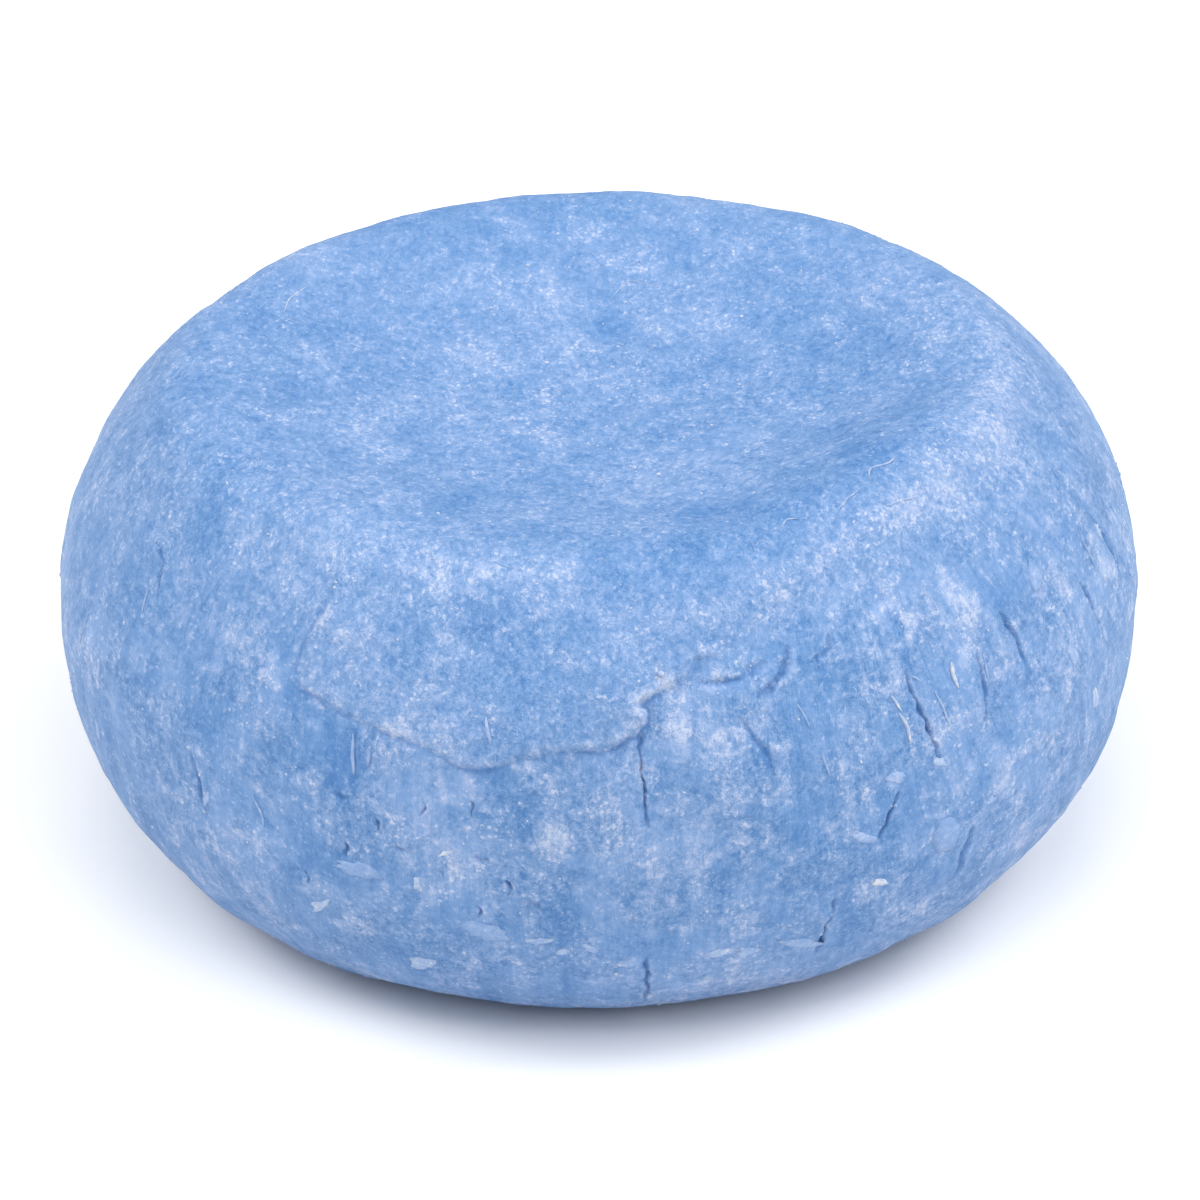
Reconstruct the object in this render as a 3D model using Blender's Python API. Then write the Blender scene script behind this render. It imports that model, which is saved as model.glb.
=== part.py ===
"""A solid shampoo bar: one round puck of pressed soap paste, with a dished top, a bulging wall and a flat foot.

Metres, +Z up. The origin is the middle of the bar's box, on the surface that the bar rests on.
The front of the bar is -Y and its right side +X.
"""

import math

import bmesh
import bpy
from mathutils import Vector

# Driving dimensions of the pressed puck. Levels are measured from its widest level.
RADIUS = 0.028
FOOT_DROP = 0.45 * RADIUS
RIM_RISE = 0.465 * RADIUS
DISH_RADIUS = 0.68 * RADIUS
DISH_DEPTH = 0.092 * RADIUS

# The wall bulges as a superellipse does. Uncut, it would reach this far above and below its widest level.
BULGE_RISE = 0.72 * RADIUS
ROUND_POWER = 1.5
LEVEL_POWER = 2.42

# Paste crowded up against the mould and left one swelling on the rim, at the front right.
SWELLING_TURN = math.radians(-38)
SWELLING_SPREAD = math.radians(20)
SWELLING_RADIUS = 0.755 * RADIUS
SWELLING_WIDTH = 0.24 * RADIUS
SWELLING_RISE = 0.068 * RADIUS

# How softly each pressed face runs into the next.
RIM_SOFTNESS = 0.056 * RADIUS
FOOT_SOFTNESS = 0.06 * RADIUS

# Makes the bulge's formula count about in metres, as the other faces' do.
EVEN_RISE = 0.6

# The net of quads is a cube's, blown up onto the bar.
CELLS_PER_SIDE = 28
NET_FLATTENING = 0.8
SEARCH_STEPS = 40

# Points this close to the foot's plane are laid on it.
FOOT_SNAP = 1e-7

SOAP_BLUE = (0.25, 0.42, 0.75, 1.0)
SOAP_ROUGHNESS = 0.5


def soft_max(a, b, softness):
    """The larger of two values, rounded off where they are within softness of each other."""
    share = min(1.0, max(0.0, 0.5 + 0.5 * (a - b) / softness))
    return b + (a - b) * share + softness * share * (1 - share)


def above_bulge(p):
    """How far p lies outside the bulging wall, about in metres."""
    level = (p.xy.length / RADIUS) ** ROUND_POWER + (abs(p.z) / BULGE_RISE) ** LEVEL_POWER
    return EVEN_RISE * RADIUS * (math.sqrt(level) - 1)


def swelling(p):
    """How far the swelling lifts the dish's rim at p."""
    turn = math.remainder(math.atan2(p.y, p.x) - SWELLING_TURN, math.tau)
    off_crest = (p.xy.length - SWELLING_RADIUS) / SWELLING_WIDTH
    return SWELLING_RISE * math.exp(-(turn / SWELLING_SPREAD) ** 2 - off_crest ** 2)


def above_dish(p):
    """How far p lies above the dished top."""
    bowl = DISH_DEPTH * (1 - (p.xy.length / DISH_RADIUS) ** 2)
    return p.z - (RIM_RISE - bowl + swelling(p))


def above_foot(p):
    """How far p lies below the flat foot."""
    return -p.z - FOOT_DROP


def outside(p):
    """Negative inside the bar, zero on its surface and positive outside it."""
    topped = soft_max(above_bulge(p), above_dish(p), RIM_SOFTNESS)
    return soft_max(topped, above_foot(p), FOOT_SOFTNESS)


def surface_along(direction):
    """The point where a ray from the bar's middle leaves the bar."""
    inner, outer = 0.0, 2 * RADIUS
    for _ in range(SEARCH_STEPS):
        middle = (inner + outer) / 2
        if outside(middle * direction) < 0:
            inner = middle
        else:
            outer = middle
    return inner * direction


def even_angle(share):
    """Spreads a cube's net so that its cells have about equal angles."""
    return math.tan(share * math.pi / 4)


def pressed_bar():
    net = bmesh.new()
    bmesh.ops.create_cube(net, size=2)
    bmesh.ops.subdivide_edges(net, edges=net.edges, cuts=CELLS_PER_SIDE - 1, use_grid_fill=True)
    for vertex in net.verts:
        direction = Vector(even_angle(share) for share in vertex.co)
        direction.z *= NET_FLATTENING
        vertex.co = surface_along(direction.normalized())
    for vertex in net.verts:
        vertex.co.z += FOOT_DROP
        if vertex.co.z < FOOT_SNAP:
            vertex.co.z = 0.0
    centre_on_origin(net)
    mesh = bpy.data.meshes.new("pressed_bar")
    net.to_mesh(mesh)
    net.free()
    mesh.shade_smooth()
    return mesh


def centre_on_origin(net):
    """Moves the net sideways until the middle of its box stands over the origin."""
    for axis in (0, 1):
        places = [vertex.co[axis] for vertex in net.verts]
        middle = (min(places) + max(places)) / 2
        for vertex in net.verts:
            vertex.co[axis] -= middle


def soap():
    material = bpy.data.materials.new("blue_soap")
    material.use_nodes = True
    shader = material.node_tree.nodes["Principled BSDF"]
    shader.inputs["Base Color"].default_value = SOAP_BLUE
    shader.inputs["Roughness"].default_value = SOAP_ROUGHNESS
    shader.inputs["Metallic"].default_value = 0.0
    return material


def main():
    for leftover in list(bpy.data.objects):
        bpy.data.objects.remove(leftover)
    bar = bpy.data.objects.new("shampoo_bar", pressed_bar())
    bar.data.materials.append(soap())
    bpy.context.scene.collection.objects.link(bar)


main()
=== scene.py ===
"""The looks of a solid shampoo bar: a pressed puck of blue paste dusted with white powder.

Lengths are metres. A place on the wall is given by its turn, in degrees from the front of the bar
and positive to the right, and by its height above the foot, in millimetres.
"""

import math
import random

import bmesh
import bpy
import numpy as np
from mathutils import Matrix, Vector, noise
from mathutils.bvhtree import BVHTree


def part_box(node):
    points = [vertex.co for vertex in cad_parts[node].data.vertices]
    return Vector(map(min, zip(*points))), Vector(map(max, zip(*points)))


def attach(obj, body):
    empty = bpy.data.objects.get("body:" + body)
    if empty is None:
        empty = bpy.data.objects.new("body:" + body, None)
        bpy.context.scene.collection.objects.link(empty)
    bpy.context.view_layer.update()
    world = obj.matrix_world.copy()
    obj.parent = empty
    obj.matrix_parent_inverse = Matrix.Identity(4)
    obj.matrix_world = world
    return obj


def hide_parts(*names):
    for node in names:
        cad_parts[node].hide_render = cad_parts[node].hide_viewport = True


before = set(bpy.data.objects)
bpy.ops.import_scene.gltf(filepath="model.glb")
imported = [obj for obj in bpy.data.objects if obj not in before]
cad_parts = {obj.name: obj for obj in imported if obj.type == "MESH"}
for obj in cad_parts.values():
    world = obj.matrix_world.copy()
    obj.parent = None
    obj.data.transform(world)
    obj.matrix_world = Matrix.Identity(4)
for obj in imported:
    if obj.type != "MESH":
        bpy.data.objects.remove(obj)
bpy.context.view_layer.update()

MM = 0.001
LOW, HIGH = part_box("shampoo_bar")
RADIUS = (HIGH.x - LOW.x) / 2
WIDEST = 0.45 * RADIUS   # the height of the bar's widest level above its foot

# The camera, with its distance and its aim in radii of the bar.
CAMERA_ELEVATION = math.radians(29.15)
CAMERA_ROLL = math.radians(1.35)
CAMERA_DISTANCE = 9.615
CAMERA_LENS, SENSOR_WIDTH = 154.3, 36   # millimetres
AIM_DROP, AIM_SHIFT = 0.032, 0.002

# The soft boxes that stand round the bar: name, turn and elevation in degrees, and power in watts.
SOFT_BOXES = [
    ("right_light", 95, 45, 3.5), ("left_light", -95, 45, 3.3), ("front_right_light", 45, 38, 1.7),
    ("front_left_light", -45, 45, 1.0), ("high_light", 0, 66, 1.8), ("back_light", 180, 40, 0.7),
]
SOFT_BOX_WIDTH = 0.4
SOFT_BOX_DISTANCE = 0.8
ROOM_GLOW = 0.35
FLOOR_RADIUS = 0.9
PAPER_WHITE = (0.93, 0.93, 0.93, 1.0)
PAPER_ROUGHNESS, PAPER_GLOSS = 0.9, 0.1


# ---------------------------------------------------------------- node trees

# Where a Mix node has its two inputs and its output for each kind of value.
MIX_SOCKETS = {"FLOAT": (2, 3, 0), "RGBA": (6, 7, 2)}


class Wiring:
    """Adds nodes to a node tree and joins them, a line for each."""

    def __init__(self, tree):
        self.tree = tree

    def put(self, socket, value):
        if isinstance(value, bpy.types.NodeSocket):
            self.tree.links.new(value, socket)
        elif value is not None:
            socket.default_value = value

    def node(self, kind, inputs=(), **settings):
        node = self.tree.nodes.new(kind)
        for name, value in settings.items():
            setattr(node, name, value)
        for key, value in dict(inputs).items():
            self.put(node.inputs[key], value)
        return node

    def math(self, operation, a, b=None, c=None):
        node = self.node("ShaderNodeMath", operation=operation)
        for socket, value in zip(node.inputs, (a, b, c)):
            self.put(socket, value)
        return node.outputs[0]

    def total(self, first, *weighted):
        """A start value plus each (signal, weight)."""
        for signal, weight in weighted:
            first = self.math("MULTIPLY_ADD", signal, weight, first)
        return first

    def vector(self, operation, a, b=None, scale=None):
        node = self.node("ShaderNodeVectorMath", operation=operation)
        self.put(node.inputs[0], a)
        if operation == "SCALE":
            self.put(node.inputs[3], scale)
        elif b is not None:
            self.put(node.inputs[1], b)
        return node.outputs["Value" if operation == "LENGTH" else "Vector"]

    def noise(self, vector, scale, detail=2.0, roughness=0.5, distortion=0.0):
        inputs = {"Vector": vector, "Scale": scale, "Detail": detail, "Roughness": roughness,
                  "Distortion": distortion}
        return self.node("ShaderNodeTexNoise", inputs).outputs["Fac"]

    def span(self, value, low, high, to_low=0.0, to_high=1.0, kind="SMOOTHSTEP"):
        inputs = {"Value": value, "From Min": low, "From Max": high, "To Min": to_low, "To Max": to_high}
        return self.node("ShaderNodeMapRange", inputs, interpolation_type=kind).outputs["Result"]

    def blend(self, share, a, b, kind="RGBA"):
        """From a to b as the share goes from 0 to 1, for colours or, with kind FLOAT, for numbers."""
        node = self.node("ShaderNodeMix", data_type=kind)
        a_socket, b_socket, result = MIX_SOCKETS[kind]
        for socket, value in ((0, share), (a_socket, a), (b_socket, b)):
            self.put(node.inputs[socket], value)
        return node.outputs[result]

    def mask(self, name):
        return self.node("ShaderNodeAttribute", attribute_name=name).outputs["Fac"]


# ---------------------------------------------------------------- camera, floor and light

def studio_camera():
    """Looks down at the front of the bar through a long lens."""
    level, high = math.cos(CAMERA_ELEVATION), math.sin(CAMERA_ELEVATION)
    back, up = Vector((0, -level, high)), Vector((0, high, level))
    middle = Vector((0, 0, WIDEST))
    data = bpy.data.cameras.new("studio_camera")
    data.sensor_width = SENSOR_WIDTH
    data.lens = CAMERA_LENS
    camera = bpy.data.objects.new("studio_camera", data)
    place = middle + back * RADIUS * CAMERA_DISTANCE
    aim = middle - up * RADIUS * AIM_DROP + Vector((RADIUS * AIM_SHIFT, 0, 0))
    turn = (aim - place).to_track_quat("-Z", "Y").to_matrix().to_4x4()
    camera.matrix_world = Matrix.Translation(place) @ turn @ Matrix.Rotation(-CAMERA_ROLL, 4, "Z")
    data.clip_start = 0.01
    bpy.context.scene.collection.objects.link(camera)
    bpy.context.scene.camera = camera


def soft_box(name, turn, elevation, power):
    """A square studio light that points at the bar from a turn and an elevation in degrees."""
    turn, elevation = math.radians(turn), math.radians(elevation)
    level = math.cos(elevation)
    toward = Vector((math.sin(turn) * level, -math.cos(turn) * level, math.sin(elevation)))
    data = bpy.data.lights.new(name, "AREA")
    data.size = SOFT_BOX_WIDTH
    data.energy = power
    lamp = bpy.data.objects.new(name, data)
    lamp.location = Vector((0, 0, WIDEST)) + toward * SOFT_BOX_DISTANCE
    lamp.rotation_euler = (-toward).to_track_quat("-Z", "Y").to_euler()
    bpy.context.scene.collection.objects.link(lamp)


def studio_light():
    """Soft boxes in a dim white room that looks bright white from the camera."""
    world = bpy.data.worlds.new("pale_room")
    world.use_nodes = True
    w = Wiring(world.node_tree)
    background = world.node_tree.nodes["Background"]
    background.inputs["Color"].default_value = (1.0, 1.0, 1.0, 1.0)
    seen = w.node("ShaderNodeLightPath").outputs["Is Camera Ray"]
    w.put(background.inputs["Strength"], w.math("MULTIPLY_ADD", seen, 1 - ROOM_GLOW, ROOM_GLOW))
    bpy.context.scene.world = world
    for name, turn, elevation, power in SOFT_BOXES:
        soft_box(name, turn, elevation, power)
    bpy.context.scene.view_settings.view_transform = "Standard"


def studio_floor():
    """A round sheet of pale paper that ends where the light fades, so that it runs into the white room."""
    bm = bmesh.new()
    bmesh.ops.create_circle(bm, cap_ends=True, segments=96, radius=FLOOR_RADIUS)
    mesh = bpy.data.meshes.new("studio_floor")
    bm.to_mesh(mesh)
    bm.free()
    floor = bpy.data.objects.new("studio_floor", mesh)
    bpy.context.scene.collection.objects.link(floor)
    material = bpy.data.materials.new("pale_paper")
    material.use_nodes = True
    shader = material.node_tree.nodes["Principled BSDF"]
    shader.inputs["Base Color"].default_value = PAPER_WHITE
    shader.inputs["Roughness"].default_value = PAPER_ROUGHNESS
    shader.inputs["Specular IOR Level"].default_value = PAPER_GLOSS
    mesh.materials.append(material)


# ---------------------------------------------------------------- places on the bar

def smooth_bar():
    """A finer, smoothly rounded copy of the bar's CAD mesh."""
    bm = bmesh.new()
    bm.from_mesh(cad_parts["shampoo_bar"].data)
    bmesh.ops.remove_doubles(bm, verts=bm.verts, dist=1e-6)
    bmesh.ops.join_triangles(bm, faces=bm.faces, angle_face_threshold=0.7, angle_shape_threshold=0.7)
    mesh = bpy.data.meshes.new("coarse_bar")
    bm.to_mesh(mesh)
    bm.free()
    coarse = bpy.data.objects.new("coarse_bar", mesh)
    bpy.context.scene.collection.objects.link(coarse)
    rounding = coarse.modifiers.new("rounding", "SUBSURF")
    rounding.levels = rounding.render_levels = 2
    bpy.context.view_layer.update()
    fine = bpy.data.meshes.new_from_object(coarse.evaluated_get(bpy.context.evaluated_depsgraph_get()))
    bpy.data.objects.remove(coarse)
    return fine


def on_wall(turn, height):
    """The point on the wall at a turn in degrees and a height in millimetres."""
    angle = math.radians(turn)
    outward = Vector((math.sin(angle), -math.cos(angle), 0))
    start = outward * RADIUS * 2 + Vector((0, 0, height * MM))
    return surface.ray_cast(start, -outward)


def on_top(turn, distance):
    """The point on the top at a turn in degrees and a distance from the middle in millimetres."""
    angle = math.radians(turn)
    start = Vector((math.sin(angle) * distance * MM, -math.cos(angle) * distance * MM, RADIUS * 2))
    return surface.ray_cast(start, Vector((0, 0, -1)))


def smooth_route(stops, find=on_wall, spacing=0.06 * MM, wander=0.0):
    """Points close together along a smooth curve on the bar through the given stops."""
    corners = np.array([find(*stop)[0] for stop in stops])
    padded = np.vstack([2 * corners[0] - corners[1], corners, 2 * corners[-1] - corners[-2]])
    route = []
    for a, b, c, d in zip(padded, padded[1:], padded[2:], padded[3:]):
        steps = max(2, int(np.linalg.norm(c - b) / spacing))
        t = (np.arange(steps) / steps)[:, None]
        route.append(b + 0.5 * t * (c - a + t * (2 * a - 5 * b + 4 * c - d + t * (3 * (b - c) + d - a))))
    route = np.vstack(route + [corners[-1:]])
    if wander:
        for size, share in ((0.8 * MM, 1), (0.25 * MM, 0.45)):
            sway = np.stack([lumps(route, size, shift=shift) for shift in (0.0, 31.0, 67.0)], axis=1)
            route = route + wander * share * sway
        route = np.array([surface.find_nearest(p)[0] for p in route])
    return route


def beside(route, places, normals, reach):
    """The places within reach of a route: their numbers, distance, side (+1 above) and share of the way."""
    near = np.where(((places > route.min(0) - reach) & (places < route.max(0) + reach)).all(1))[0]
    gaps = places[near][:, None, :] - route[None]
    distance = np.linalg.norm(gaps, axis=2)
    nearest = distance.argmin(1)
    rows = np.arange(len(near))
    tangent = np.gradient(route, axis=0)[nearest]
    side = np.sign(np.einsum("ij,ij->i", np.cross(tangent, gaps[rows, nearest]), normals[near]))
    return near, distance[rows, nearest], side, nearest / (len(route) - 1)


def lumps(places, size, octaves=1, shift=0.0):
    """Smooth noise from about -1 to 1 whose lumps are about size across."""
    offset = Vector((shift, shift, shift))
    return np.array([noise.fractal(Vector(p) / size + offset, 1.0, 2.0, octaves) for p in places])


def scaled_lumps(places, kind, *shares):
    """Lumps of a (rise, size, octaves, shift) kind in metres, times the given shares."""
    rise, size, octaves, shift = kind
    height = rise * MM
    for share in shares:
        height = height * share
    return height * lumps(places, size * MM, octaves, shift)


def ease(low, high, value):
    """0 below low, 1 above high and a smooth rise between them."""
    share = np.clip((value - low) / (high - low), 0, 1)
    return share * share * (3 - 2 * share)


# ---------------------------------------------------------------- the pressed, folded and cracked paste

# The granular top skin is folded down over the front of the wall, and ends in this edge.
LAP_EDGE = [
    (-32.7, 23.4), (-33.5, 21.9), (-34, 20.6), (-33, 19.6), (-31.3, 19.4), (-28.2, 19.1), (-24, 18.7),
    (-19.1, 18.3), (-15.9, 17.8), (-13.6, 17.5), (-10.3, 17.8), (-6.8, 18.3), (-3.3, 18.5), (0.2, 18.6),
    (2.3, 18.9), (3.8, 19.3), (4.7, 20), (4.5, 20.6), (6.7, 20.9), (9.2, 21.2), (10.8, 21.9), (14.3, 22.1),
]

# How plainly the lap's edge shows along its length.
LAP_STRENGTH = ([0, 0.12, 0.3, 0.45, 0.62, 0.75, 0.86, 1], [0.4, 0.6, 0.5, 0.6, 0.6, 0.95, 1, 0.1])

# Each crack has a depth and a width in millimetres, and its stops.
CRACKS = [
    (0.28, 0.075, [(3.9, 19.3), (3.8, 18.1), (4.1, 17), (4.0, 15.8), (4.3, 14.7)]),
    (0.30, 0.085, [(31, 14.4), (30.3, 13.8), (29.4, 12.7), (28.5, 11.6)]),
    (0.25, 0.08, [(33.1, 19.8), (33.9, 18.4), (34.6, 17.2), (35.2, 16), (36, 15)]),
    (0.15, 0.08, [(43.5, 19.8), (43.1, 18.2), (42.9, 16.7), (42.6, 15.1)]),
    (0.26, 0.08, [(24, 8.8), (23.4, 7), (23.1, 5)]),
    (0.28, 0.09, [(3.8, 7), (4.1, 5.4), (4.3, 2.6)]),
    (0.26, 0.16, [(21.2, 21.9), (20.1, 21.3), (18.8, 20.8), (16, 20.1)]),
    (0.20, 0.18, [(9.8, 21.2), (12.7, 21), (15.5, 21.1), (18, 21.5)]),
    (0.18, 0.15, [(26.4, 22), (25.2, 21.5), (23.4, 21)]),
    (0.16, 0.13, [(13.8, 19.6), (15.2, 18.6), (16.6, 17.6), (17, 16.4)]),
    (0.16, 0.10, [(-61.5, 22.2), (-58.5, 21.8), (-57.3, 21.1), (-55.8, 20.2)]),
    (0.16, 0.11, [(-46, 14.6), (-44.8, 13), (-44.2, 11)]),
    (0.18, 0.10, [(47.5, 20.6), (48.8, 19), (49.6, 17.2)]),
    (0.19, 0.11, [(62, 19.4), (64.2, 17.4), (65.4, 15.6)]),
    (0.18, 0.11, [(71.2, 20.6), (72.4, 18.6), (72.8, 16.8)]),
    (0.20, 0.12, [(40.5, 10.4), (39.6, 8.8), (39.2, 7.4)]),
    (0.26, 0.09, [(-104, 18), (-105, 16.2), (-104.6, 14.4)]),
    (0.22, 0.10, [(-140, 12.6), (-138.6, 11.6), (-136.6, 11.2)]),
    (0.24, 0.10, [(172, 19.6), (171.2, 18), (171.6, 16.6)]),
    (0.24, 0.09, [(131, 15.4), (132, 13.6), (131.6, 12)]),
    (0.22, 0.10, [(103, 9.6), (104.4, 8), (104.8, 6.6)]),
]

# Long shallow grooves that the mould dragged into the wall, as stops.
DRAG_MARKS = [
    [(45.6, 20.8), (46.3, 18.7), (48.2, 16.5), (49.8, 14.4)], [(44.6, 21.3), (45.1, 19.2), (45.5, 16.9)],
    [(53.5, 17.3), (55.1, 16), (57.3, 14.4)], [(61, 23.2), (61.3, 21.3), (62.8, 20)],
    [(33.4, 24.2), (34.6, 20.9), (34.2, 19.5)], [(50.8, 12.8), (53.1, 11.3)],
    [(57.6, 21.4), (58.8, 18.6), (60.4, 16.8)], [(78, 17), (79, 14), (79.5, 11.5)],
    [(92, 20), (93, 17), (93.4, 14.6)], [(-85, 19), (-86, 16), (-86.4, 13)], [(-130, 18), (-130.6, 14.8)],
    [(162, 18.4), (162.6, 15)], [(118, 16), (119, 12.4)], [(-160, 16.6), (-160.4, 13)],
]

# The depth and width of a drag mark, a slit and a torn place, in millimetres.
DRAG_CUT, SLIT_CUT, TEAR_CUT = (0.07, 0.16), (0.17, 0.06), (0.16, 0.17)

# Short upright slits and small torn places low on the front, as (turn, height).
SLITS = [
    (-18.2, 15.2), (-13.1, 15.5), (-23.1, 13.9), (-26.5, 12.3), (-31.4, 9.9), (-12.9, 9.9), (-9.7, 11.4),
]
TEARS = [
    (-26.4, 15.1), (-20.4, 12.9), (-12.2, 12.8), (-7.2, 10.4),
]

# The sharp crest at the front right of the rim, with a painted highlight, and the slope that falls from it
# into the dish, with painted shade, as (turn, distance).
RIDGE = [
    (4.5, 24.2), (11.7, 23.5), (19.5, 23), (25.5, 22.4), (33, 22), (43.7, 21.3), (55.8, 21), (66.3, 21.2),
    (76.3, 21.3), (85, 20.7), (94.2, 20.2), (107, 20.3), (119, 20.5),
]
SLOPE = [
    (12, 18.6), (24, 18.4), (36, 17.8), (48, 17.2), (60, 17), (72, 17.2), (82, 17.4),
]

# Lumps all over the bar, on the skin alone and drawn out on the wall: (rise, size, octaves, shift), with
# the rise and the size in millimetres.
BROAD_LUMPS, SMALL_LUMPS = (0.17, 6, 2, 0.0), (0.06, 1.8, 3, 5.0)
SKIN_LUMPS, WALL_STREAKS = (0.035, 0.9, 2, 9.0), (0.09, 1.5, 2, 3.0)
STREAK_STRETCH = 0.16

# The ridge and the hollow inside it, and the lap: how far they rise or fall, and how wide, in millimetres.
RIDGE_RISE, RIDGE_WIDTH = 0.2, 1.1
HOLLOW_DEPTH, HOLLOW_WIDTH = 0.12, 2.4
LAP_RISE, LAP_LIP, LAP_RUN = 0.3, 0.3, 6
GROOVE_DEPTH, GROOVE_WIDTH = 0.12, 0.24

# The foot is flat, and the relief fades in over this height in millimetres.
FOOT_FADE = 1.5

# Dents and bumps: (turn, height or distance, size, rise), the last two in millimetres.
WALL_BUMPS = [
    (76, 15.6, 2.2, 0.32), (73.6, 12.6, 1.2, -0.28), (-74, 14, 3, 0.12), (55.5, 19.8, 1.1, -0.16),
    (-38, 15.4, 1.2, -0.1), (15, 16, 2.4, 0.12), (28, 19, 2, -0.1),
]
TOP_BUMPS = [
    (171, 7.7, 1.6, -0.2), (-112, 21.9, 1.4, 0.2), (-152, 21, 1.5, 0.16), (-30, 9, 3, -0.08),
    (140, 13, 2.5, 0.1), (-15, 22.4, 1.8, 0.12), (-45, 22.6, 1.6, -0.08),
]

# Where the powder lies thicker (above 0) or is worn off: (turn, height or distance, size, amount).
WALL_POWDER = [
    (-27, 16.4, 2, -0.6), (-17.3, 16.6, 1.5, -0.5), (-8.2, 16.2, 1.7, -0.5), (3.4, 6, 2.4, -0.6),
    (-23.3, 6.2, 2.2, -0.5), (20, 16.6, 1.7, -0.4), (33, 14.4, 1.6, -0.25), (81.7, 16.6, 2, 0.3),
    (52, 12.6, 1.9, 0.25), (39.2, 17.4, 1.4, 0.3), (8.2, 20.4, 1.2, 0.5), (-2.4, 14.2, 1.5, 0.4),
    (-14.5, 10.4, 1.8, 0.35), (-17.3, 13.8, 1.3, 0.7), (-11.5, 14.1, 1, 0.6), (57.8, 16.2, 1.1, 0.4),
    (68.5, 18.8, 1.3, 0.35), (62.5, 12.4, 1.2, 0.35), (1.4, 10.8, 1.7, 0.3), (-51.4, 16.2, 1.8, 0.3),
    (9.9, 18.2, 1.1, 0.45), (-17, 22.7, 0.5, 1), (-29.2, 22, 0.5, 1), (-32.8, 22.8, 0.6, 0.8),
    (-24, 20, 0.6, 0.8), (-14.6, 18.6, 0.6, 0.9), (-8, 19.4, 0.6, 0.8), (4, 20.6, 0.5, 1.2),
    (-21.4, 18.8, 0.5, 1), (6.9, 21.1, 0.5, 1.2), (3.4, 13.3, 0.6, 0.8), (-28.4, 19.6, 0.5, 1),
    (-44, 12.6, 1.4, 0.45), (15.5, 15.4, 1.2, 0.3), (-80, 16, 2.2, 0.4), (-14, 20.5, 6, 0.3),
]
TOP_POWDER = [
    (8, 21.6, 1.5, 0.2), (-27.4, 22.6, 1.9, 0.4), (-15.5, 21.2, 1.8, 0.5), (-20.2, 21.8, 0.5, 1.2),
    (-18.7, 22.6, 0.5, 1.2), (-44, 23.4, 1.8, 0.3), (171, 7.7, 1.5, -0.5), (-60, 19, 3, 0.2),
    (150, 15, 3, 0.15), (20, 8, 5, -0.15),
]


def skin_share(places):
    """1 on the granular top skin and 0 on the dragged, waxy wall."""
    turn = np.degrees(np.arctan2(places[:, 0], -places[:, 1]))
    height = places[:, 2] / MM
    lap_turn = [-180, -90, -60, -37, -34.2] + [t for t, _ in LAP_EDGE[3:]] + [30, 60, 100, 180]
    lap_height = [21, 20, 19, 21.5, 21] + [h for _, h in LAP_EDGE[3:]] + [23.2, 23.6, 22.5, 21]
    softness = np.interp(turn, [-60, -40, -34.5, -33.5, 9, 16, 40], [3.5, 3, 1, 0.15, 0.15, 1.2, 2.5])
    edge = np.interp(turn, lap_turn, lap_height)
    return ease(-softness, softness, height - edge)


def refine(bm, lap, cuts, marks):
    """Splits the faces along the lap, the cuts and the drag marks until they are fine enough to hold them."""
    for reach, routes in ((1.0 * MM, [lap] + cuts), (0.42 * MM, [lap] + cuts + marks), (0.2 * MM, cuts)):
        places = np.array([v.co for v in bm.verts])
        wanted = np.zeros(len(places), bool)
        for route in routes:
            near, distance, _, _ = beside(route, places, places, reach)
            wanted[near[distance < reach]] = True
        bm.verts.ensure_lookup_table()
        chosen = [e for e in bm.edges if wanted[e.verts[0].index] and wanted[e.verts[1].index]]
        bmesh.ops.subdivide_edges(bm, edges=chosen, cuts=1, use_grid_fill=True)
        bm.verts.index_update()


def bell(places, centre, size):
    """1 at the centre and next to nothing at twice the size from it."""
    return np.exp(-((places - np.array(centre)) ** 2).sum(1) / size ** 2)


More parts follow.
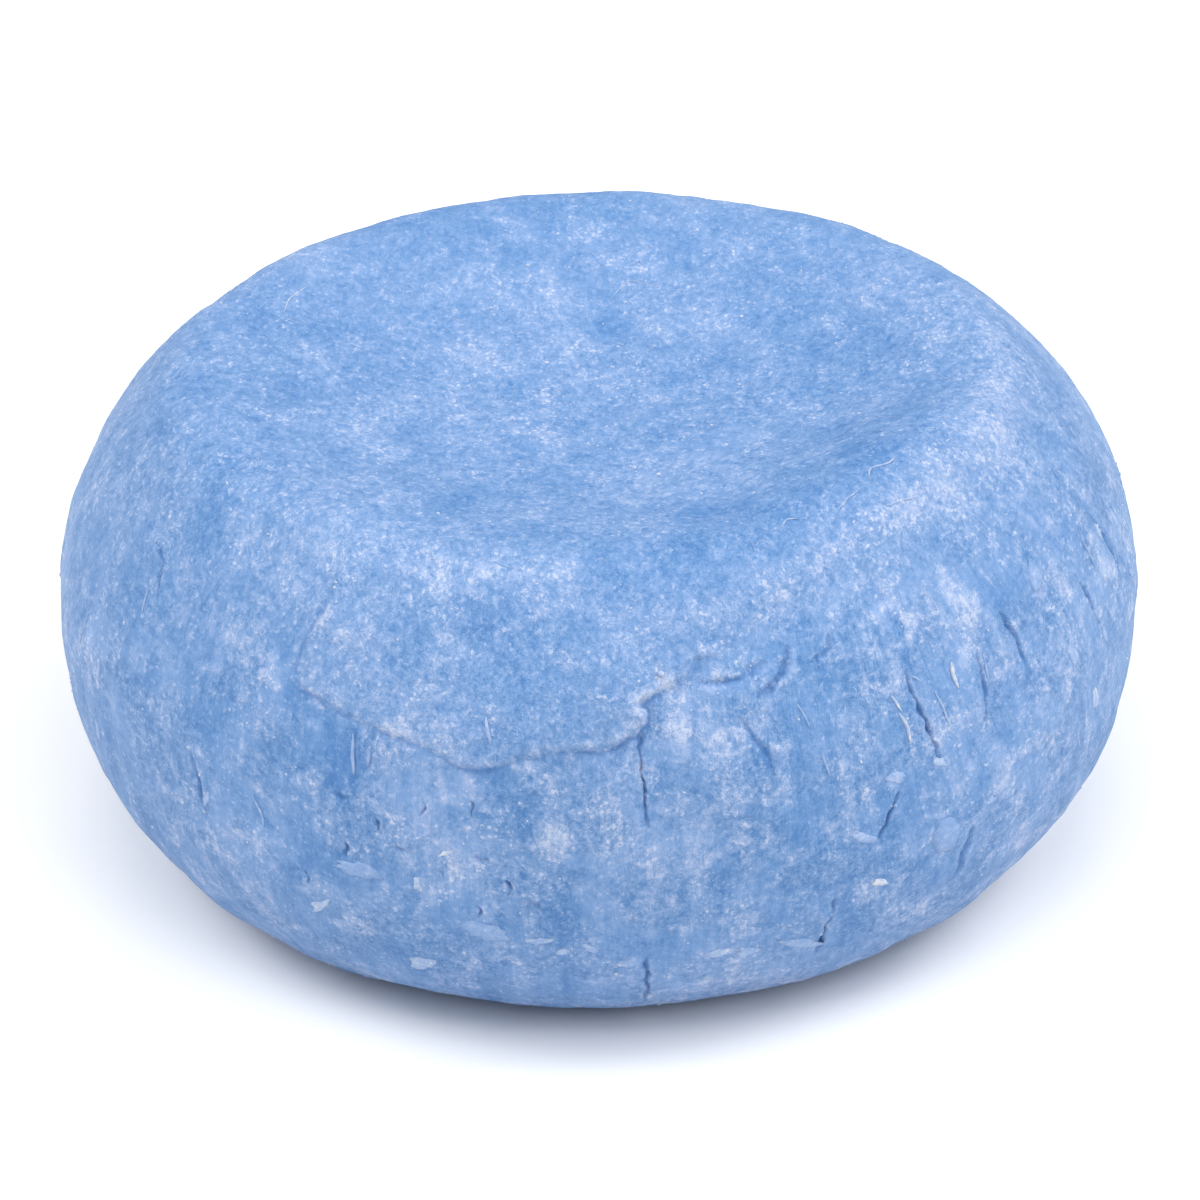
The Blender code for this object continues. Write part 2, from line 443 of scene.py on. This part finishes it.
class Relief:
    """The points of the bar's mesh, with how far each rises and its share of skin, of painted shade in cracks
    and grooves, and of powder and painted light.
    """

    def __init__(self, mesh):
        count = len(mesh.vertices)
        places, normals = np.zeros(count * 3), np.zeros(count * 3)
        mesh.vertices.foreach_get("co", places)
        mesh.vertices.foreach_get("normal", normals)
        self.places, self.normals = places.reshape(-1, 3), normals.reshape(-1, 3)
        self.skin = skin_share(self.places)
        self.rise, self.crevice, self.bloom_and_painted_light = np.zeros(count), np.zeros(count), np.zeros(count)

    def beside(self, route, reach):
        return beside(route, self.places, self.normals, reach)

    def raise_lumps(self):
        """Broad and small lumps everywhere, grain on the skin, and upright drag marks on the wall."""
        self.rise += scaled_lumps(self.places, BROAD_LUMPS)
        self.rise += scaled_lumps(self.places, SMALL_LUMPS)
        self.rise += scaled_lumps(self.places, SKIN_LUMPS, self.skin)
        reach = np.maximum(np.hypot(self.places[:, 0], self.places[:, 1]), 4 * MM)
        level = self.places / reach[:, None] * RADIUS
        drawn_out = np.stack([level[:, 0], level[:, 1], self.places[:, 2] * STREAK_STRETCH], axis=1)
        steep = 1 - np.abs(self.normals[:, 2])
        self.rise += scaled_lumps(drawn_out, WALL_STREAKS, 1 - self.skin, steep)

    def place_spots(self):
        """The single dents and bumps, and the patches of thick or worn powder."""
        kinds = ((WALL_BUMPS, on_wall, self.rise, MM), (TOP_BUMPS, on_top, self.rise, MM),
                 (WALL_POWDER, on_wall, self.bloom_and_painted_light, 1), (TOP_POWDER, on_top, self.bloom_and_painted_light, 1))
        for spots, find, into, scale in kinds:
            for turn, reach, size, amount in spots:
                into += scale * amount * bell(self.places, find(turn, reach)[0], size * MM)

    def raise_ridge(self):
        """The powdery crest of the rim, paler also with a painted highlight, and the hollow inside it, darker
        with painted shade.
        """
        near, distance, side, share = self.beside(smooth_route(RIDGE, on_top, wander=0.3 * MM), 6 * MM)
        fade = ease(0, 0.18, share) * (1 - 0.4 * ease(0.55, 0.85, share)) * (1 - ease(0.94, 1, share))
        width = np.where(side > 0, 1.4, 2.1) * MM
        self.rise[near] += fade * RIDGE_RISE * MM * np.exp(-(distance / (RIDGE_WIDTH * MM)) ** 2)
        # Paler along the crest: partly powder, partly a painted highlight.
        self.bloom_and_painted_light[near] += fade * 0.95 * np.exp(-(distance / width) ** 2)
        near, distance, _, share = self.beside(smooth_route(SLOPE, on_top, spacing=0.2 * MM), 6 * MM)
        fade = np.sin(np.pi * share) ** 0.5
        self.rise[near] -= fade * HOLLOW_DEPTH * MM * np.exp(-(distance / (HOLLOW_WIDTH * MM)) ** 2)
        # Darker down the slope into the hollow: painted shade.
        self.bloom_and_painted_light[near] -= fade * 0.45 * np.exp(-(distance / (2.3 * MM)) ** 2)

    def fold_lap(self, lap):
        """The folded skin stands proud of the wall, with powder along its edge and a groove darkened with
        painted shade.
        """
        near, distance, side, share = self.beside(lap, 7 * MM)
        ragged = along(lap, share, 1.1 * MM, 7.0)
        fade = np.interp(share, *LAP_STRENGTH) * np.clip(1 + 0.9 * ragged, 0.35, 1.3)
        above = np.where(side > 0, fade, 0)
        run_out = 1 - ease(2 * LAP_LIP * MM, LAP_RUN * MM, distance)
        self.rise[near] += above * LAP_RISE * MM * ease(0, LAP_LIP * MM, distance) * run_out
        self.rise[near] -= fade * GROOVE_DEPTH * MM * np.exp(-(distance / (GROOVE_WIDTH * MM)) ** 2)
        # The groove gets a darker blue: painted shade.
        groove = fade * np.exp(-((distance + side * 0.04 * MM) / (0.1 * MM)) ** 2)
        self.crevice[near] = np.maximum(self.crevice[near], groove)
        self.bloom_and_painted_light[near] += above * 1.2 * np.exp(-((distance - 0.3 * MM) / (0.4 * MM)) ** 2)

    def cut(self, depth, width, route):
        """A ragged crack or groove with raised, powdery lips and painted shade inside, its depth and width in
        millimetres.
        """
        near, distance, side, share = self.beside(route, 1.5 * MM)
        ragged = along(route, share, 0.7 * MM)
        fade = np.sin(np.pi * np.clip(share, 0, 1)) ** 0.5 * np.clip(1 + 0.7 * ragged, 0.5, 1.4)
        across = distance / (width * MM * np.clip(1 + 0.9 * ragged, 0.55, 1.7))
        self.rise[near] -= fade * depth * MM * np.exp(-across ** 2)
        self.rise[near] += fade * 0.12 * depth * MM * np.exp(-((across - 2.2) / 1.3) ** 2) * (1 + 0.6 * side)
        # The inside of the cut gets a darker blue: painted shade.
        inside = fade * 2.5 * depth * np.exp(-(across / 0.85) ** 2)
        self.crevice[near] = np.maximum(self.crevice[near], inside)
        self.bloom_and_painted_light[near] += 0.5 * fade * np.exp(-((across - 2.2) / 1.1) ** 2) * (1 + 0.5 * side)

    def apply(self, mesh):
        """Moves the mesh's points out along their normals, but not the flat foot's, and stores the rest."""
        self.rise *= ease(0.0, FOOT_FADE * MM, self.places[:, 2])
        moved = self.places + self.normals * self.rise[:, None]
        moved[:, 2] = np.maximum(moved[:, 2], 0)
        mesh.vertices.foreach_set("co", moved.ravel())
        masks = {"skin": self.skin, "crevice": np.clip(self.crevice, 0, 1), "bloom_and_painted_light": self.bloom_and_painted_light}
        for name, values in masks.items():
            mesh.attributes.new(name, "FLOAT", "POINT").data.foreach_set("value", values.astype(np.float32))


def along(route, share, size, shift=0.0):
    """Noise along a route, at each share of the way."""
    return lumps(route, size, 2, shift)[np.rint(share * (len(route) - 1)).astype(int)]


def pressed_surface():
    """The bar's mesh with its lap, cracks, ridge, drag marks and lumps."""
    lap = smooth_route(LAP_EDGE, wander=0.2 * MM)
    cuts = list(CRACKS)
    cuts += [(*SLIT_CUT, [(turn, height + 0.45), (turn + 0.25, height), (turn - 0.1, height - 0.4)])
             for turn, height in SLITS]
    cuts += [(*TEAR_CUT, [(turn - 0.8, height + 0.2), (turn, height), (turn + 0.8, height + 0.05)])
             for turn, height in TEARS]
    first_mark = len(cuts)
    cuts += [(*DRAG_CUT, stops) for stops in DRAG_MARKS]
    routes = [smooth_route(stops, spacing=0.04 * MM, wander=0.16 * MM) for _, _, stops in cuts]

    bm = bmesh.new()
    bm.from_mesh(base_mesh)
    refine(bm, lap, routes[:first_mark], routes[first_mark:])
    mesh = bpy.data.meshes.new("shampoo_bar_surface")
    bm.to_mesh(mesh)
    bm.free()

    relief = Relief(mesh)
    relief.raise_lumps()
    relief.place_spots()
    relief.raise_ridge()
    relief.fold_lap(lap)
    for (depth, width, _), route in zip(cuts, routes):
        relief.cut(depth, width, route)
    relief.apply(mesh)
    mesh.update()
    mesh.shade_smooth()
    return mesh


# ---------------------------------------------------------------- soap

# The dark blue of the painted shade in cracks and grooves.
CREVICE_SHADE_BLUE = (0.05, 0.18, 0.46, 1.0)
SOAP_IOR = 1.45
DRY_ROUGHNESS = 0.6


def paste_grain():
    """White granules and the fine grit between them, at places in millimetres."""
    tree = bpy.data.node_groups.new("paste_grain", "ShaderNodeTree")
    tree.interface.new_socket("Place", in_out="INPUT", socket_type="NodeSocketVector")
    tree.interface.new_socket("Grit", in_out="OUTPUT", socket_type="NodeSocketFloat")
    tree.interface.new_socket("Granules", in_out="OUTPUT", socket_type="NodeSocketFloat")
    w = Wiring(tree)
    place = w.node("NodeGroupInput").outputs["Place"]
    grit = w.noise(place, 2.4, 4.0, 0.9, 0.4)
    bends = w.node("ShaderNodeTexNoise", {"Vector": place, "Scale": 5.0}).outputs["Color"]
    bent = w.vector("ADD", place, w.vector("SCALE", bends, scale=0.25))
    dots = w.node("ShaderNodeTexVoronoi", {"Vector": bent, "Scale": 3.2})
    size = w.node("ShaderNodeSeparateColor", {0: dots.outputs["Color"]}).outputs[0]
    granules = w.math("MULTIPLY", w.span(dots.outputs["Distance"], 0.42, 0.2), w.span(size, 0.2, 0.9))
    w.node("NodeGroupOutput", {"Grit": grit, "Granules": granules})
    return tree


def colour_ramp(w, share, stops):
    """A colour for each share, blended between the given stops."""
    node = w.node("ShaderNodeValToRGB", {0: share})
    ramp = node.color_ramp
    ramp.elements[0].position, ramp.elements[0].color = stops[0][0], (*stops[0][1], 1.0)
    ramp.elements[1].position, ramp.elements[1].color = stops[-1][0], (*stops[-1][1], 1.0)
    for position, colour in stops[1:-1]:
        ramp.elements.new(position).color = (*colour, 1.0)
    return node.outputs["Color"]


def dragged_places(w, place):
    """Places pulled out along the wall's height, and leaning on the right side, for streaks."""
    side, _, height = w.node("ShaderNodeSeparateXYZ", {0: place}).outputs
    level = w.vector("MULTIPLY", place, (1.0, 1.0, 0.0))
    reach = w.math("MAXIMUM", w.vector("LENGTH", level), 3.0)
    ring = w.vector("SCALE", level, scale=w.math("DIVIDE", RADIUS / MM, reach))
    up = w.node("ShaderNodeCombineXYZ", {2: w.math("MULTIPLY", height, 0.2)}).outputs[0]
    lean = w.math("MULTIPLY", height, w.span(side, 6.0, 18.0, 0.0, 0.013))
    round_the_bar = w.vector("CROSS_PRODUCT", (0.0, 0.0, 1.0), ring)
    return w.vector("ADD", w.vector("ADD", ring, up), w.vector("SCALE", round_the_bar, scale=lean))


def powder_cover(w, skin, bloom_and_painted_light):
    """How much white powder covers the blue paste, plus painted light on the rim, from about 0.3 to 0.8, with
    places in millimetres.
    """
    place = w.vector("SCALE", w.node("ShaderNodeTexCoord").outputs["Object"], scale=1 / MM)
    depth = w.node("ShaderNodeSeparateXYZ", {0: place}).outputs[1]
    streaks = w.noise(dragged_places(w, place), 0.8, 5.0, 0.8)

    # Marks that both kinds of surface have.
    place = w.vector("MULTIPLY", place, (1.0, 0.78, 1.0))
    grain = w.node("ShaderNodeGroup", {"Place": place}, node_tree=grain_group)
    grit = w.math("SUBTRACT", grain.outputs["Grit"], 0.5)
    clouds = w.noise(place, 0.14, 7.0, 0.85, 0.3)
    clumps = w.span(w.noise(place, 0.5, 4.0, 0.75, 0.5), 0.4, 0.66)
    granules = w.math("MULTIPLY", grain.outputs["Granules"], w.total(0.3, (clumps, 0.7)))
    flecks = w.span(w.noise(place, 3.8, 3.0, 0.75, 0.4), 0.55, 0.61)
    flecks = w.math("MULTIPLY", flecks, w.total(0.35, (clumps, 0.65)))

    # The skin has curled fibres, and its grit is weaker towards the back.
    curl = w.math("ABSOLUTE", w.math("SUBTRACT", w.noise(place, 0.9, 2.0, 0.6, 1.5), 0.5))
    fibres = w.math("MULTIPLY", w.span(curl, 0.022, 0.0), w.span(w.noise(place, 1.7, 1.0, 0.5), 0.5, 0.65))
    skin_grit = w.math("MULTIPLY", grit, w.span(depth, -4.0, 24.0, 1.0, 0.62))
    granular = w.total(0.09, (clouds, 0.76), (skin_grit, 0.92), (granules, 0.22), (clumps, 0.07),
                       (fibres, 0.07), (flecks, 0.16))

    # The wall has streaks and pale blobs, and its grit leaves bare, waxy patches.
    blobs = w.span(w.noise(place, 0.6, 2.0, 0.5, 0.4), 0.5, 0.72)
    wall_grit = w.math("MULTIPLY", grit, w.span(w.noise(place, 0.3, 3.0, 0.6, 0.4), 0.4, 0.6, 0.35, 1.35))
    dragged = w.total(-0.283, (clouds, 0.92), (streaks, 0.6), (wall_grit, 0.85), (granules, 0.22),
                      (blobs, 0.14), (flecks, 0.17))

    broken = w.total(0.2, (grain.outputs["Grit"], 1.1), (granules, 0.4))
    # This adds the powder patches and lips, the painted highlight on the rim's crest and the painted shade in
    # its hollow.
    return w.total(w.blend(skin, dragged, granular, "FLOAT"), (w.math("MULTIPLY", bloom_and_painted_light, broken), 0.14))


def soap():
    """Blue paste that shows through a coat of white powder, granular on the skin and dragged on the wall,
    with painted shade in its cracks and grooves and painted light on the rim.
    """
    material = bpy.data.materials.new("blue_soap")
    material.use_nodes = True
    w = Wiring(material.node_tree)
    shader = material.node_tree.nodes["Principled BSDF"]
    skin, crevice, bloom_and_painted_light = w.mask("skin"), w.mask("crevice"), w.mask("bloom_and_painted_light")
    powder = powder_cover(w, skin, bloom_and_painted_light)
    tone = colour_ramp(w, w.span(powder, 0.3, 0.82, kind="LINEAR"), [
        (0.0, (0.052, 0.172, 0.43)), (0.25, (0.107, 0.243, 0.50)), (0.5, (0.183, 0.313, 0.57)),
        (0.75, (0.305, 0.41, 0.645)), (1.0, (0.475, 0.55, 0.72))])
    # Cracks and grooves blend towards a dark blue: painted shade.
    w.put(shader.inputs["Base Color"], w.blend(w.math("MULTIPLY", crevice, 0.7), tone, CREVICE_SHADE_BLUE))
    w.put(shader.inputs["Roughness"], w.total(0.4, (powder, 0.3), (skin, 0.06)))
    shader.inputs["IOR"].default_value = SOAP_IOR
    relief = w.node("ShaderNodeBump", {"Height": powder, "Strength": 0.5, "Distance": 0.4 * MM})
    w.put(shader.inputs["Normal"], relief.outputs["Normal"])
    return material


def pale_paste():
    """Dry bits of paste, from pale blue to white as their paleness says."""
    material = bpy.data.materials.new("pale_paste")
    material.use_nodes = True
    w = Wiring(material.node_tree)
    shader = material.node_tree.nodes["Principled BSDF"]
    place = w.vector("SCALE", w.node("ShaderNodeTexCoord").outputs["Object"], scale=1 / MM)
    grain = w.node("ShaderNodeGroup", {"Place": place}, node_tree=grain_group)
    grit, granules = grain.outputs["Grit"], grain.outputs["Granules"]
    pale = w.total(-1.3, (w.mask("pale"), 1.0), (grit, 2.4), (granules, 0.3))
    tone = colour_ramp(w, pale, [
        (0.0, (0.175, 0.3, 0.56)), (0.35, (0.25, 0.37, 0.61)),
        (0.75, (0.38, 0.47, 0.65)), (1.0, (0.58, 0.61, 0.66))])
    w.put(shader.inputs["Base Color"], tone)
    shader.inputs["Roughness"].default_value = DRY_ROUGHNESS
    relief = w.node("ShaderNodeBump", {"Height": grit, "Strength": 0.4, "Distance": 0.2 * MM})
    w.put(shader.inputs["Normal"], relief.outputs["Normal"])
    return material


# ---------------------------------------------------------------- bits of paste on the surface

# Thin chips: (turn, height, length, width, lean from upright in degrees, paleness), lengths in millimetres.
CHIPS = [
    (-20, 5.6, 1.75, 1.0, -58, 0.62), (-30.4, 8.2, 1.9, 0.55, -48, 0.66), (-18.9, 11, 0.8, 0.5, 5, 0.66),
    (-15.9, 13, 0.75, 0.24, -62, 0.95), (-11.9, 8.6, 2.1, 1.2, 70, 0.26), (-25.3, 11.2, 2.3, 1.0, 84, 0.24),
    (-6.6, 8.2, 1.3, 0.4, -75, 0.55), (-4.6, 7.5, 0.8, 0.45, -60, 0.6), (-1.6, 7.8, 1.0, 0.4, 60, 0.45),
    (28.8, 9.1, 0.85, 0.45, 78, 1.0), (36.7, 10.5, 2.2, 1.6, 10, 0.2), (26.5, 12.1, 1.8, 0.5, 62, 0.42),
    (20.5, 6.3, 2.6, 0.7, 66, 0.42), (11.7, 6.8, 2.1, 0.6, 84, 0.5), (14.6, 6.5, 1.2, 0.8, 80, 0.48),
    (55.7, 20.5, 1.6, 1.0, -20, 0.3), (71.6, 19.6, 1.2, 0.7, 10, 0.62), (68.9, 18.2, 1.6, 0.9, 12, 0.6),
    (57.8, 16.2, 1.5, 0.8, 15, 0.5), (62.5, 12.4, 1.7, 0.9, 15, 0.62), (78, 18.8, 1.2, 0.6, 5, 0.45),
    (-44, 12.2, 1.2, 0.4, -30, 0.5), (30.4, 14.9, 1.1, 0.6, 70, 0.5), (35.6, 14.9, 0.9, 0.45, 65, 0.6),
    (66, 15.2, 1.2, 0.5, 20, 0.45), (-66, 11, 1.4, 0.7, -10, 0.4), (100, 14, 1.6, 0.9, 10, 0.45),
    (-118, 15, 1.5, 0.8, -15, 0.45), (140, 10, 1.7, 0.9, 60, 0.4), (178, 15, 1.3, 0.8, -50, 0.45),
    (-146, 7, 1.6, 0.7, -60, 0.6), (160, 6.5, 1.3, 0.6, 75, 0.55), (122, 17, 1.0, 0.5, 20, 0.6),
    (-96, 9, 1.2, 0.6, -30, 0.55), (-165, 18, 0.9, 0.4, 10, 0.8), (-128, 9.4, 0.8, 0.35, 60, 0.9),
]

# Slivers of paste on the wall: (width, paleness, stops).
SLIVERS = [
    (0.24, 0.95, [(39.4, 19.3), (39.2, 18.7), (39.4, 18.0)]),
    (0.2, 0.85, [(31.6, 18), (32.3, 17.3), (32.5, 16.4)]), (0.15, 0.8, [(31.2, 18.9), (32, 18)]),
    (0.1, 0.7, [(34, 19.4), (34.7, 19.1), (35, 19)]), (0.2, 0.4, [(-25.9, 18.3), (-25.5, 16.3)]),
    (0.24, 0.32, [(-24, 17.7), (-24, 16.9)]), (0.2, 0.55, [(-11.9, 19.9), (-11.6, 19.2), (-11.2, 18.7)]),
    (0.14, 0.6, [(36.3, 18.4), (37.1, 17.2), (37.4, 16.4)]),
    (0.14, 0.5, [(-37.6, 13.6), (-36.6, 12.8), (-36.3, 12)]), (0.12, 0.6, [(66.5, 20.3), (67.1, 18.8)]),
    (0.12, 0.45, [(20.6, 19.6), (21.4, 18.5)]), (0.12, 0.45, [(22.3, 17.2), (23.1, 15.9)]),
    (0.12, 0.5, [(43.9, 19), (43.6, 17.4)]), (0.13, 0.55, [(-58.6, 20.6), (-57.8, 19.4)]),
    (0.12, 0.5, [(-69, 17), (-69.5, 15.2)]), (0.18, 0.8, [(-121, 17.6), (-121.4, 16.4)]),
    (0.14, 0.6, [(152, 13.4), (152.8, 12.2), (152.6, 11.2)]), (0.16, 0.7, [(112, 19), (113, 17.8)]),
    (0.14, 0.6, [(-158, 12.2), (-157.4, 10.8)]),
]

# Hairs and fibres on the top: (width, paleness, stops as turn and distance).
FIBRES = [
    (0.07, 0.9, [(-114, 17.8), (-119, 18.1), (-124, 18.0)]),
    (0.06, 0.8, [(175.6, 10.5), (170.7, 12.4), (164, 12.2)]), (0.1, 0.75, [(40.8, 21.3), (45.7, 21.5)]),
    (0.12, 0.7, [(26, 20.2), (27.5, 19.8), (29, 20)]),
    (0.12, 0.75, [(42, 19.8), (44.6, 19.2), (47, 19.5), (49.5, 19.3)]),
    (0.1, 0.6, [(34, 20.6), (37, 20.2), (40, 20)]),
]

# The sides and rings of the ball that each kind of bit is pressed from.
BIT_FACES = {"chip": (20, 5), "sliver": (6, 8), "fibre": (5, 12)}

# How many loose fibres and clusters of granules there are.
LOOSE_FIBRES = 45
GRANULE_CLUSTERS = 420

# A granule's usual radius, and half a chip's greatest thickness, in millimetres.
GRANULE_RADIUS = 0.055
CHIP_HALF_THICKNESS = 0.07


def ball(bm, kind):
    """Adds a ball of radius 1 to be pressed into shape."""
    sides, rings = BIT_FACES[kind]
    return bmesh.ops.create_uvsphere(bm, u_segments=sides, v_segments=rings, radius=1)["verts"]


def chip(bm, pale, place, normal, length, width, lean, paleness, chance):
    """A thin ragged flake that lies on the surface."""
    up = (Vector((0, 0, 1)) - normal * normal.z).normalized()
    heading = Matrix.Rotation(math.radians(lean), 3, normal) @ up
    across = heading.cross(normal)
    shift = Vector((chance.uniform(0, 90), 0, 0))
    for vertex in ball(bm, "chip"):
        x, y, z = vertex.co
        rim = Vector((x, y, 0)).normalized()
        ragged = 1 + 0.5 * noise.noise(rim * 1.1 + shift) + 0.5 * noise.noise(rim * 3.7 + shift)
        flat = place + heading * (x * ragged * length / 2) + across * (y * ragged * width / 2)
        on_bar, outward, _, _ = skin_tree.find_nearest(flat)
        vertex.co = on_bar + outward * z * min(CHIP_HALF_THICKNESS * MM, width / 7)
        vertex[pale] = paleness


def thread(bm, pale, kind, route, width, paleness):
    """A sliver or fibre that follows a route and tapers at both ends."""
    last = len(route) - 1
    for vertex in ball(bm, kind):
        x, y, z = vertex.co
        way = (z + 1) / 2 * last
        step = min(int(way), last - 1)
        point = Vector(route[step]).lerp(Vector(route[step + 1]), way - step)
        heading = Vector(route[step + 1] - route[step]).normalized()
        on_bar, outward, _, _ = skin_tree.find_nearest(point)
        vertex.co = on_bar + heading.cross(outward) * (x * width / 2) + outward * (y * width / 2 + width / 8)
        vertex[pale] = paleness


def bits(name, build):
    """A piece made of many small bits that the given function adds."""
    bm = bmesh.new()
    build(bm, bm.verts.layers.float.new("pale"), random.Random(name))
    bmesh.ops.recalc_face_normals(bm, faces=bm.faces)
    mesh = bpy.data.meshes.new(name)
    bm.to_mesh(mesh)
    bm.free()
    mesh.shade_smooth()
    add_piece(name, mesh, pale_material)


def pale_chips(bm, pale, chance):
    """The flakes on the wall."""
    for turn, height, length, width, lean, paleness in CHIPS:
        place, normal, _, _ = on_wall(turn, height)
        chip(bm, pale, place, normal, length * MM, width * MM, lean, paleness, chance)


def paste_slivers(bm, pale, chance):
    """The slivers on the wall."""
    for width, paleness, stops in SLIVERS:
        route = smooth_route(stops, spacing=0.3 * MM, wander=0.05 * MM)
        thread(bm, pale, "sliver", route, width * MM, paleness)


def dry_fibres(bm, pale, chance):
    """The hairs on the top, and the finer ones scattered between them."""
    for width, paleness, stops in FIBRES:
        thread(bm, pale, "fibre", smooth_route(stops, on_top, 0.3 * MM, 0.1 * MM), width * MM, paleness)
    for _ in range(LOOSE_FIBRES):
        turn, distance = chance.uniform(-180, 180), 22 * math.sqrt(chance.random())
        swing = chance.uniform(-6, 6) * 10 / (distance + 4)
        stops = [(turn, distance), (turn + swing, distance + chance.uniform(-0.6, 0.6)),
                 (turn + 1.6 * swing, distance + chance.uniform(-1, 1))]
        route = smooth_route(stops, on_top, 0.2 * MM, 0.1 * MM)
        thread(bm, pale, "sliver", route, chance.uniform(0.04, 0.07) * MM, chance.uniform(0.25, 0.6))


def granules(bm, pale, chance):
    """White crumbs all over the bar, in loose clusters."""
    middle = Vector((0, 0, WIDEST))
    for _ in range(GRANULE_CLUSTERS):
        toward = Vector(chance.gauss(0, 1) for _ in range(3)).normalized()
        centre = skin_tree.ray_cast(middle, toward)[0]
        spread = chance.uniform(0.3, 2.2) * MM
        for _ in range(chance.randint(2, 10)):
            near = centre + Vector(chance.gauss(0, spread) for _ in range(3))
            place, normal, _, _ = skin_tree.find_nearest(near)
            if place.z < 0.4 * MM:
                continue
            radius = chance.lognormvariate(math.log(GRANULE_RADIUS), 0.4) * MM
            spin = Matrix.Rotation(chance.uniform(0, math.tau), 4, "Z")
            squash = Matrix.Diagonal((1, chance.uniform(0.6, 1), chance.uniform(0.4, 0.8), 1))
            stand = normal.to_track_quat("Z", "Y").to_matrix().to_4x4()
            matrix = Matrix.Translation(place) @ stand @ spin @ squash
            made = bmesh.ops.create_icosphere(bm, subdivisions=1, radius=radius, matrix=matrix)["verts"]
            paleness = chance.uniform(0.45, 1.0)
            for vertex in made:
                vertex[pale] = paleness


# ---------------------------------------------------------------- the bar

def add_piece(name, mesh, material):
    """Puts a piece of the bar in the scene."""
    piece = bpy.data.objects.new(name, mesh)
    bpy.context.scene.collection.objects.link(piece)
    mesh.materials.append(material)
    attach(piece, "root")
    return piece


studio_camera()
studio_floor()
studio_light()

base_mesh = smooth_bar()
surface = BVHTree.FromPolygons([v.co for v in base_mesh.vertices], [p.vertices for p in base_mesh.polygons])
grain_group = paste_grain()
pale_material = pale_paste()
bar = add_piece("pressed_bar", pressed_surface(), soap())
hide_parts("shampoo_bar")
skin_tree = BVHTree.FromPolygons([v.co for v in bar.data.vertices], [p.vertices for p in bar.data.polygons])

bits("pale_chips", pale_chips)
bits("paste_slivers", paste_slivers)
bits("dry_fibres", dry_fibres)
bits("granules", granules)

bpy.context.view_layer.update()
